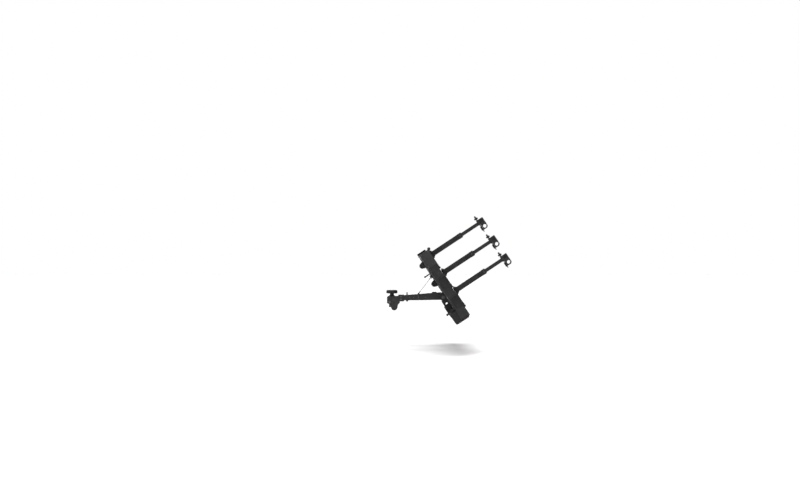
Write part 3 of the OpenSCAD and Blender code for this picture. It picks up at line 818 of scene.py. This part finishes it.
def chassis_welds():
    """Weld beads where the cross members and hinge brackets meet the beams."""
    bm = bmesh.new()
    for u in CROSS_U:
        for s in (1, -1):
            y = s * 64.6 * MM
            loop = [(u, 28), (u + 34, 28), (u + 34, 60), (u, 60), (u, 28)]
            weld_bead(bm, [(a * MM, y, b * MM) for a, b in loop], 1.6 * MM, 2.4 * MM)
    for s in (1, -1):
        for u in (64, 250, 436, 640):
            weld_bead(bm, [mm(u, s * 100.4, 44), mm(u + 26, s * 100.4, 44)], 1.6 * MM)
    piece("chassis_welds", bm, "coated_steel", "deck", DECK)


# ---- wings ----


def tray_profile():
    """The trough's middle surface across a tray, as (u, v) from its centre line."""
    left = [(-63.0, 88.6), (-63.0, 95.2), (-60.5, 96.2), (-58.2, 94.6), (-55, 84.5), (-51.2, 73)]
    left += [(-47.6, 62.8)]
    floor = [(u, 61.6) for u in (-45, -39, -33, -24, -15, -6, 6, 15, 24, 33, 39, 45)]
    right = [(-u, v) for u, v in reversed(left)]
    return left + floor + right


def tray_rows(y0, y1):
    """How many rows of floor, 7 mm each, run along a tray."""
    return int(round((y1 - y0) / (7.15 * MM)))


def trough_surface(bm, y0, y1):
    """The trough as a grid, with drain slots left out of its floor."""
    profile = tray_profile()
    rows = tray_rows(y0, y1)
    grid = []
    for j in range(rows + 1):
        y = y0 + (y1 - y0) * j / rows
        grid.append([bm.verts.new((u * MM, y, v * MM)) for u, v in profile])
    slots = {len(tray_profile()) // 2 - 3, len(tray_profile()) // 2 + 1}
    for j in range(rows):
        for i in range(len(profile) - 1):
            if i in slots and j % SLOT_EVERY in (3, 4, 5) and 3 < j < rows - 3:
                continue
            bm.faces.new((grid[j][i], grid[j][i + 1], grid[j + 1][i + 1], grid[j + 1][i]))


def thicken(bm, thickness):
    """Gives a surface its wall, half to each side."""
    mesh = bpy.data.meshes.new("sheet")
    bm.to_mesh(mesh)
    bm.clear()
    obj = put("sheet", mesh)
    wall = obj.modifiers.new("wall", "SOLIDIFY")
    wall.thickness = thickness
    wall.offset = 0
    wall.use_even_offset = True
    shaped = obj.evaluated_get(bpy.context.evaluated_depsgraph_get()).to_mesh()
    bm.from_mesh(shaped)
    obj.to_mesh_clear()
    bpy.data.objects.remove(obj)
    bpy.data.meshes.remove(mesh)


def tray_ribs(bm, y0, y1):
    """Grip ribs on the floor and stiffening ribs down the walls."""
    rows = tray_rows(y0, y1)
    for j in range(4, rows - 3):
        if j % SLOT_EVERY in (7, 0, 1):
            y = y0 + (y1 - y0) * (j + 0.5) / rows
            for u in (-24, 24):
                low = ((u - 9) * MM, y - 1.2 * MM, 62.2 * MM)
                add_box(bm, low, ((u + 9) * MM, y + 1.2 * MM, 64 * MM), 0.5, 1)
    for s in (1, -1):
        for i in range(9):
            at = y0 + (y1 - y0) * (i + 0.5) / 9
            wall = [mm(s * 49.4, 62), mm(s * 58, 88.5), mm(s * 63, 88.5), mm(s * 55, 62)]
            add_prism(bm, wall, at - 1.3 * MM, at + 1.3 * MM, 0.4, 1)


def rounded_outline(points, radius, steps=5):
    """The outline with each corner turned to an arc."""
    out = []
    count = len(points)
    for i in range(count):
        p = Vector(points[i])
        a = (Vector(points[i - 1]) - p)
        b = (Vector(points[(i + 1) % count]) - p)
        reach = min(radius, a.length * 0.45, b.length * 0.45)
        start, end = p + a.normalized() * reach, p + b.normalized() * reach
        for k in range(steps + 1):
            t = k / steps
            out.append(tuple(start * (1 - t) ** 2 + p * 2 * t * (1 - t) + end * t * t))
    return out


def tray_end(bm):
    """The cap that wraps over the end beam: a rounded face with a raised rim and ribs."""
    face = [(-60, 97.5), (-60, 50), (-46, 12), (46, 12), (60, 50), (60, 97.5)]
    inner = [(-50, 88), (-50, 52), (-40, 22), (40, 22), (50, 52), (50, 88)]
    ring_outer = rounded_outline(face, 12)
    add_prism(bm, [mm(u, v) for u, v in ring_outer], 638.4 * MM, 645.2 * MM, 1.2)
    add_rim(bm, ring_outer, rounded_outline(inner, 10), 645.0 * MM, 648.2 * MM)
    for u in (-24, 0, 24):
        add_box(bm, mm(u - 1.8, 645, 24), mm(u + 1.8, 647.2, 86), 0.8)
    add_box(bm, mm(-59, 606, 88.6), mm(59, 641, 97.6), 2.6, 3)
    for u in (-52, 52):
        add_screw(bm, mm(u, 624, 97.4), (0, 0, 1), 3.8)


def add_rim(bm, outer, inner, y0, y1):
    """A raised rim between two outlines with the same number of points."""
    loops = []
    for outline, y in ((outer, y0), (outer, y1 - 0.8 * MM), (shrink(outer, inner, 0.12), y1),
                       (shrink(outer, inner, 0.88), y1), (inner, y1 - 0.8 * MM), (inner, y0)):
        loops.append([bm.verts.new((u * MM, y, v * MM)) for u, v in outline])
    skin(bm, loops, closed=True)


def shrink(outer, inner, share):
    return [tuple(Vector(a).lerp(Vector(b), share)) for a, b in zip(outer, inner)]


def wheel_trays(side):
    """Three moulded troughs, the two rear ones with caps over the end beam."""
    bm = bmesh.new()
    trough_surface(bm, *TRAY_ENDS)
    thicken(bm, 2.6 * MM)
    tray_ribs(bm, *TRAY_ENDS)
    for y in (181, 609):
        shape = [(-47, 61), (-58, 88), (-58, 96), (58, 96), (58, 88), (47, 61)]
        add_prism(bm, [mm(u, v) for u, v in shape], y * MM, (y + 2.6) * MM, 0.8)
    for u in (-30, 30):
        add_box(bm, mm(u - 12, 154, 58.4), mm(u + 12, 186, 62.6), 1.2)
        add_screw(bm, mm(u, 166, 62.4), (0, 0, 1), 4)
    plain = bm.copy()
    tray_end(bm)
    joined = bmesh.new()
    for k, source in enumerate((plain, bm, bm)):
        place_copy(joined, source, move((TRAY_U + k * PITCH, 0, 0)))
    plain.free()
    bm.free()
    piece(f"tray_set_{side}", joined, "tray_plastic", f"wing_{side}", mirrored(side),
          [f"wheel_trays_{side}"])


def place_copy(target, source, matrix):
    """Adds a moved copy of one bmesh to another."""
    mesh = bpy.data.meshes.new("copy")
    source.to_mesh(mesh)
    mesh.transform(matrix)
    target.from_mesh(mesh)
    bpy.data.meshes.remove(mesh)


def strap_path():
    """A strap's line over a tray, from the slot beside one wall to the buckle: (u, v)."""
    w = 66.3
    sag = [(u, 100.2 - 7.5 * cos(pi * u / 116) ** 2) for u in range(-54, 55, 6)]
    left = [(-w, 66), (-w, 76), (-w, 88), (-w + 0.3, 96), (-w + 2.5, 99.4), (-60, 100.6)]
    return left + sag + [(-u, v) for u, v in reversed(left)]


def ribbon(bm, path, y, width, thick):
    """A flat band along a (u, v) path, with eased edges."""
    section = [(-1, -0.2), (-0.86, -1), (0.86, -1), (1, -0.2), (1, 0.2), (0.86, 1), (-0.86, 1), (-1, 0.2)]
    points = [Vector((u, 0, v)) * MM for u, v in path]
    rings = []
    for i, p in enumerate(points):
        ahead = (points[min(i + 1, len(points) - 1)] - points[max(i - 1, 0)]).normalized()
        up = Vector((0, 1, 0)).cross(ahead) * -thick / 2
        edge = Vector((0, width / 2, 0))
        mid = Vector((0, y, 0))
        rings.append([bm.verts.new(p + (mid + edge * a + up * b)) for a, b in section])
    skin(bm, rings)


def strap_teeth(bm, path, y, width):
    """Ratchet teeth on the strap's upper face, along its buckle half."""
    points = [Vector((u, 0, v)) * MM for u, v in path]
    for a, b in zip(points[12:], points[13:-5]):
        for t in (0.2, 0.7):
            at = a.lerp(b, t)
            ahead = (b - a).normalized()
            up = ahead.cross(Vector((0, 1, 0)))
            if up.z < 0:
                up = -up
            tooth = ((-1.1, 0.9), (1.1, 0.9), (0.7, 2.1), (-0.2, 2.1))
            shape = [at + ahead * along * MM + up * rise * MM for along, rise in tooth]
            add_prism(bm, [(p.x, p.z) for p in shape], y - width / 2, y + width / 2)


def wheel_straps(side):
    """The ratchet straps, sagging a little into the empty trays, each with a soft rim pad."""
    bm = bmesh.new()
    path = strap_path()
    ribbon(bm, path, STRAP_Y, 25 * MM, 2.2 * MM)
    strap_teeth(bm, path, STRAP_Y, 17 * MM)
    pad = [p for p in path if -40 <= p[0] <= -4 and p[1] > 90]
    ribbon(bm, pad, STRAP_Y, 29 * MM, 5.0 * MM)
    joined = bmesh.new()
    for k in range(3):
        place_copy(joined, bm, move((TRAY_U + k * PITCH, 0, 0)))
    bm.free()
    piece(f"strap_set_{side}", joined, "strap", f"wing_{side}", mirrored(side), [f"wheel_straps_{side}"])


def buckle_details(side):
    """Lever ribs and axle heads on each ratchet buckle."""
    wing, place = f"wing_{side}", mirrored(side)
    for k in range(3):
        u = TRAY_U + k * PITCH + 67 * MM
        bm = bmesh.new()
        for v in (66, 70, 74, 78):
            low = u + (12.6 + (78 - v) * 0.16) * MM
            add_box(bm, (low, 559 * MM, v * MM), (low + 4.6 * MM, 579 * MM, (v + 1.8) * MM), 0.6, 1)
        piece(f"lever_ribs_{k + 1}_{side}", bm, "grip", f"lever_{k + 1}_{side}", place)
    bm = bmesh.new()
    for k in range(3):
        u = TRAY_U + k * PITCH + 77 * MM
        for y, way in ((552, -1), (586, 1)):
            add_screw(bm, (u, (y + way * -0.1) * MM, 96 * MM), (0, way, 0), 4.6, 1.8)
    piece(f"buckle_axles_{side}", bm, "zinc", wing, place)


def wing_details(side):
    """Ribs on the end beam, screws in the corner guard, hinge bolts, corner bolts and welds."""
    wing, place = f"wing_{side}", mirrored(side)
    bm = bmesh.new()
    for u0, u1 in ((156, 262), (402, 472), (610, 702)):
        for v in (62, 18):
            add_box(bm, mm(u0, 637.6, v), mm(u1, 640.4, v + 4), 0.9)
    piece(f"beam_ribs_{side}", bm, "coated_alloy", wing, place)
    bm = bmesh.new()
    for u, v in ((14, 14), (134, 14), (14, 84), (134, 84)):
        add_screw(bm, mm(u, 649.6, v), (0, 1, 0), 4.4, 1.5)
    for u in (104, 290, 476, 626):
        add_bolt(bm, mm(u, 156, 73.6), (0, 0, 1), 8, 3.4, 0.8)
    for u in (31, 687):
        for y in (165, 625):
            add_bolt(bm, mm(u, y, 0.1), (0, 0, -1), 10, 4, 1)
    piece(f"wing_fixings_{side}", bm, "zinc", wing, place)
    bm = bmesh.new()
    for u in (16, 46, 670, 704):
        for y in (180.4, 611.6):
            weld_bead(bm, [mm(u, y, 4), mm(u, y, 46)], 1.6 * MM, 2.4 * MM)
    piece(f"wing_welds_{side}", bm, "coated_steel", wing, place)


def guard_frame(side):
    """A shallow raised border on the corner guard's outer face."""
    bm = bmesh.new()
    outer = rounded_outline([(2, 2), (146, 2), (146, 96), (2, 96)], 5)
    inner = rounded_outline([(6, 6), (142, 6), (142, 92), (6, 92)], 5)
    add_rim(bm, outer, inner, 649.5 * MM, 651.0 * MM)
    piece(f"guard_border_{side}", bm, "guard_plastic", f"wing_{side}", mirrored(side))


LAMP_PANELS = (
    ("inner", 303, 398, "amber_lens"),
    ("middle", 399.4, 520, "lens"),
    ("outer", 521.4, 637, "clear_lens"),
)


def lamp_details(side):
    """Lens panels over their reflectors, with ribs and screws on the housing."""
    wing, place = f"wing_{side}", mirrored(side)
    replaced = [f"lamp_lens_{side}"]
    for word, y0, y1, finish in LAMP_PANELS:
        bm = bmesh.new()
        add_box(bm, mm(715.5, y0, -59), mm(722, y1, 71), 3, 4)
        for i in range(5):
            v = -59 + 130 * (i + 1) / 6
            add_box(bm, mm(721.4, y0 + 5, v - 0.8), mm(722.6, y1 - 5, v + 0.8), 0.4, 1)
        piece(f"lens_{word}_{side}", bm, "lens", wing, place, replaced, finish)
        replaced = ()
        bm = bmesh.new()
        middle, half = (y0 + y1) / 2, (y1 - y0) / 2 - 4
        reach = min(half, 42)
        bowl = [(4, 709.6), (reach * 0.45, 710), (reach * 0.8, 711.8), (reach, 714.6)]
        bowl += [(reach + 1.4, 714.8), (reach + 1, 709)]
        add_lathe(bm, [mm(r, h - 700) for r, h in bowl], mm(700, middle, 6), (1, 0, 0), 40)
        piece(f"reflector_{word}_{side}", bm, "chrome", wing, place, material="reflector")
    bm = bmesh.new()
    for y in range(330, 641, 28):
        add_box(bm, mm(618, y - 1.4, -67.4), mm(704, y + 1.4, -65.6), 0.6, 1)
    for u in (620, 640, 660, 680):
        add_box(bm, mm(u, 643.6, -58), mm(u + 3, 645.4, -10), 0.8)
    add_box(bm, mm(707, 643.6, -62), mm(713.6, 645.4, 74), 0.8)
    piece(f"lamp_ribs_{side}", bm, "black_plastic", wing, place)
    bm = bmesh.new()
    for y in (312, 470, 628):
        add_screw(bm, mm(690, y, -66), (0, 0, -1), 4, 1.5)
    piece(f"lamp_screws_{side}", bm, "zinc", wing, place)
    bm = bmesh.new()
    add_lathe(bm, [(9 * MM, 0), mm(9, 8), mm(7, 10), mm(6, 20), mm(4.6, 26)],
              mm(606, 316, -34), (-1, 0, 0), 24)
    piece(f"lamp_gland_{side}", bm, "rubber", wing, place)


# ---- frame holders ----


def arm_frame(k):
    return DECK @ move((ARM_U + k * PITCH, 0, 0))


def arm_details(k):
    """Extrusion ribs, a collar with its cam lever and screw, and the end seal."""
    place, number = arm_frame(k), k + 1
    bm = bmesh.new()
    for a in (-16, 0, 16):
        for y in (-15.5, 15.5):
            add_box(bm, mm(a - 1.6, y - 0.5, 146), mm(a + 1.6, y + 0.5, 417), 0.4, 1)
    for y in (-7, 7):
        for a in (-24.4, 24.4):
            add_box(bm, mm(a - 0.5, y - 1.4, 146), mm(a + 0.5, y + 1.4, 417), 0.4, 1)
    piece(f"arm_ribs_{number}", bm, "coated_alloy", f"arm_{number}", place)
    bm = bmesh.new()
    for v in (424, 457):
        add_box(bm, mm(-27, -18, v), mm(27, 18, v + 3), 1.2)
    add_rod(bm, mm(0, -25, COLLAR_V), mm(0, -15, COLLAR_V), 10.4 * MM, 32)
    lever = rounded_outline([(-7, 449), (7, 449), (9, 400), (5, 372), (-5, 372), (-9, 400)], 5)
    add_prism(bm, [mm(a, v) for a, v in lever], -22.5 * MM, -17.5 * MM, 1.6, 3)
    piece(f"arm_collar_{number}", bm, "black_plastic", f"arm_{number}", place)
    bm = bmesh.new()
    add_box(bm, mm(-19.5, -11.6, 460), mm(-17.2, 11.6, 465), 0.6)
    add_box(bm, mm(17.2, -11.6, 460), mm(19.5, 11.6, 465), 0.6)
    for y in (-11.6, 9.4):
        add_box(bm, mm(-19.5, y, 460), mm(19.5, y + 2.2, 465), 0.6)
    piece(f"arm_seal_{number}", bm, "rubber", f"arm_{number}", place)
    bm = bmesh.new()
    add_screw(bm, mm(0, -24.9, COLLAR_V), (0, -1, 0), 5.4, 1.6)
    piece(f"collar_screw_{number}", bm, "zinc", f"arm_{number}", place)


def head_details(k):
    """The clamp's rubber liners, the head's screws and ribs, and the inner tube's height marks."""
    place, number = arm_frame(k), k + 1
    for word, body, first in (("back", f"slide_{number}", 96), ("front", f"jaw_{number}", -84)):
        turn = [radians(a) for a in range(first, first + 169, 7)]
        bm = bmesh.new()
        arc_liner(bm, CLAMP_CENTRE, 17.3 * MM, 18.4 * MM, turn, 19 * MM)
        piece(f"liner_{word}_{number}", bm, "rubber", body, place)
    bm = bmesh.new()
    for y in (-1, 1):
        for a, v in ((-28, 720), (14, 720), (-28, 658)):
            add_screw(bm, mm(a, y * 19.9, v), (0, y, 0), 3.6)
    piece(f"head_screws_{number}", bm, "zinc", f"slide_{number}", place)
    bm = bmesh.new()
    for s in (1, -1):
        low, high = sorted(mm(s * 13.8, s * 17.4))
        for v in (684, 692, 700, 708):
            add_box(bm, (-24 * MM, low, v * MM), (6 * MM, high, (v + 3) * MM), 0.8)
    piece(f"head_ribs_{number}", bm, "black_plastic", f"slide_{number}", place)
    bm = bmesh.new()
    for v in range(480, 650, 20):
        add_box(bm, mm(-6, -9.35, v), mm(6, -8.9, v + 1.2))
    piece(f"slide_marks_{number}", bm, "guard_plastic", f"slide_{number}", place)


def arc_liner(bm, centre, inner, outer, angles, half):
    """A curved pad with grip ridges, along Y."""
    for i, (a, b) in enumerate(zip(angles, angles[1:])):
        lift = 0.35 * MM if i % 2 else 0.0
        quad = []
        for r, t in ((inner + lift, a), (inner + lift, b), (outer, b), (outer, a)):
            quad.append((centre[0] + r * cos(t), centre[1] + r * sin(t)))
        add_prism(bm, quad, -half, half)


def arm_knob(k):
    """The jaw's five-lobed knob with its long threaded screw and round nose."""
    place, number = arm_frame(k), k + 1
    bm = bmesh.new()
    outline = [(8, -44), (15, -43), (18, -44.5), (19, -48), (19, -54), (18, -58), (15, -60)]
    outline += [(9, -61), (7.6, -64), (8, -67), (8, -77), (6.4, -79.6), (2, -80)]
    profile = [mm(r, -44 - a) for r, a in outline]
    add_lathe(bm, profile, mm(-44, 0, KNOB_V), (-1, 0, 0), 80, 5, 4.2 * MM, 9 * MM)
    piece(f"knob_head_{number}", bm, "black_plastic", f"knob_{number}", place,
          [f"arm_knob_{number}"], angle=50)
    bm = bmesh.new()
    add_rod(bm, mm(-45, 0, KNOB_V), mm(-34.2, 0, KNOB_V), 8 * MM)
    add_lathe(bm, thread_profile(4.95 * MM, 142 * MM, 1.6 * MM), mm(-45, 0, KNOB_V), (1, 0, 0), 20)
    piece(f"knob_thread_{number}", bm, "zinc", f"knob_{number}", place)


# ---- studio ----


def sky():
    """White behind the carrier; the light it gives fades from overhead down to the horizon."""
    world = bpy.data.worlds.new("studio")
    bpy.context.scene.world = world
    world.use_nodes = True
    tree = world.node_tree
    add, link = tree.nodes.new, tree.links.new
    backdrop = tree.nodes["Background"]
    backdrop.inputs["Color"].default_value = (1, 1, 1, 1)
    dome = add("ShaderNodeBackground")
    coords = add("ShaderNodeTexCoord")
    split = add("ShaderNodeSeparateXYZ")
    fade = add("ShaderNodeValToRGB")
    fade.color_ramp.elements[0].color = (0.2, 0.2, 0.21, 1)
    fade.color_ramp.elements[1].color = (0.85, 0.85, 0.85, 1)
    path = add("ShaderNodeLightPath")
    blend = add("ShaderNodeMixShader")
    link(coords.outputs["Generated"], split.inputs[0])
    link(split.outputs["Z"], fade.inputs["Fac"])
    link(fade.outputs["Color"], dome.inputs["Color"])
    link(path.outputs["Is Camera Ray"], blend.inputs["Fac"])
    link(dome.outputs[0], blend.inputs[1])
    link(backdrop.outputs[0], blend.inputs[2])
    link(blend.outputs[0], tree.nodes["World Output"].inputs["Surface"])


def studio():
    """A pale floor under a white sky, a soft light from overhead and a key from the car's left."""
    sky()
    bm = bmesh.new()
    ground = move((0, 0, GROUND_Z))
    bmesh.ops.create_grid(bm, x_segments=1, y_segments=1, size=30, matrix=ground)
    mesh = bpy.data.meshes.new("floor")
    bm.to_mesh(mesh)
    bm.free()
    floor = put("floor", mesh)
    s = Shader("studio_floor")
    s.mottle(0.8, 2, (0.86, 0.86, 0.86, 1), (0.88, 0.88, 0.88, 1))
    s.set(Roughness=0.85, Specular_IOR_Level=0.2)
    mesh.materials.append(s.material)
    overhead = bpy.data.lights.new("overhead", "SUN")
    overhead.energy = 2.1
    overhead.angle = radians(38)
    put("overhead", overhead).rotation_euler = (radians(-9), radians(-5), 0)
    key = bpy.data.lights.new("key", "AREA")
    key.shape = "DISK"
    key.size = 1.8
    key.energy = 70
    obj = put("key", key)
    obj.location = (-0.9, -2.2, 3.4)
    aim = Vector((0.5, 0, 0.1)) - Vector((-0.9, -2.2, 3.4))
    obj.rotation_euler = aim.to_track_quat("-Z", "Y").to_euler()


def camera():
    """Square on from the car's left, ten metres away, at the height of the carrier."""
    data = bpy.data.cameras.new("view")
    data.lens = CAMERA_LENS
    data.sensor_width = 36
    data.clip_end = 100
    obj = put("view", data)
    obj.location = CAMERA_AT
    obj.rotation_euler = (radians(90), 0, 0)
    bpy.context.scene.camera = obj
    bpy.context.scene.view_settings.view_transform = "Standard"


def build():
    camera()
    studio()
    dress_cad_nodes()
    tension_knob()
    lock_trim()
    coupling_details()
    tube_details()
    striker_details()
    bump_ribs()
    tilt_wire()
    chassis_fasteners()
    chassis_welds()
    cover_ribs()
    saddle_pads()
    grip_sleeve()
    plate_details()
    pedal_tread()
    for side in SIDES:
        wheel_trays(side)
        wheel_straps(side)
        buckle_details(side)
        wing_details(side)
        guard_frame(side)
        lamp_details(side)
    for k in range(3):
        arm_details(k)
        head_details(k)
        arm_knob(k)


build()
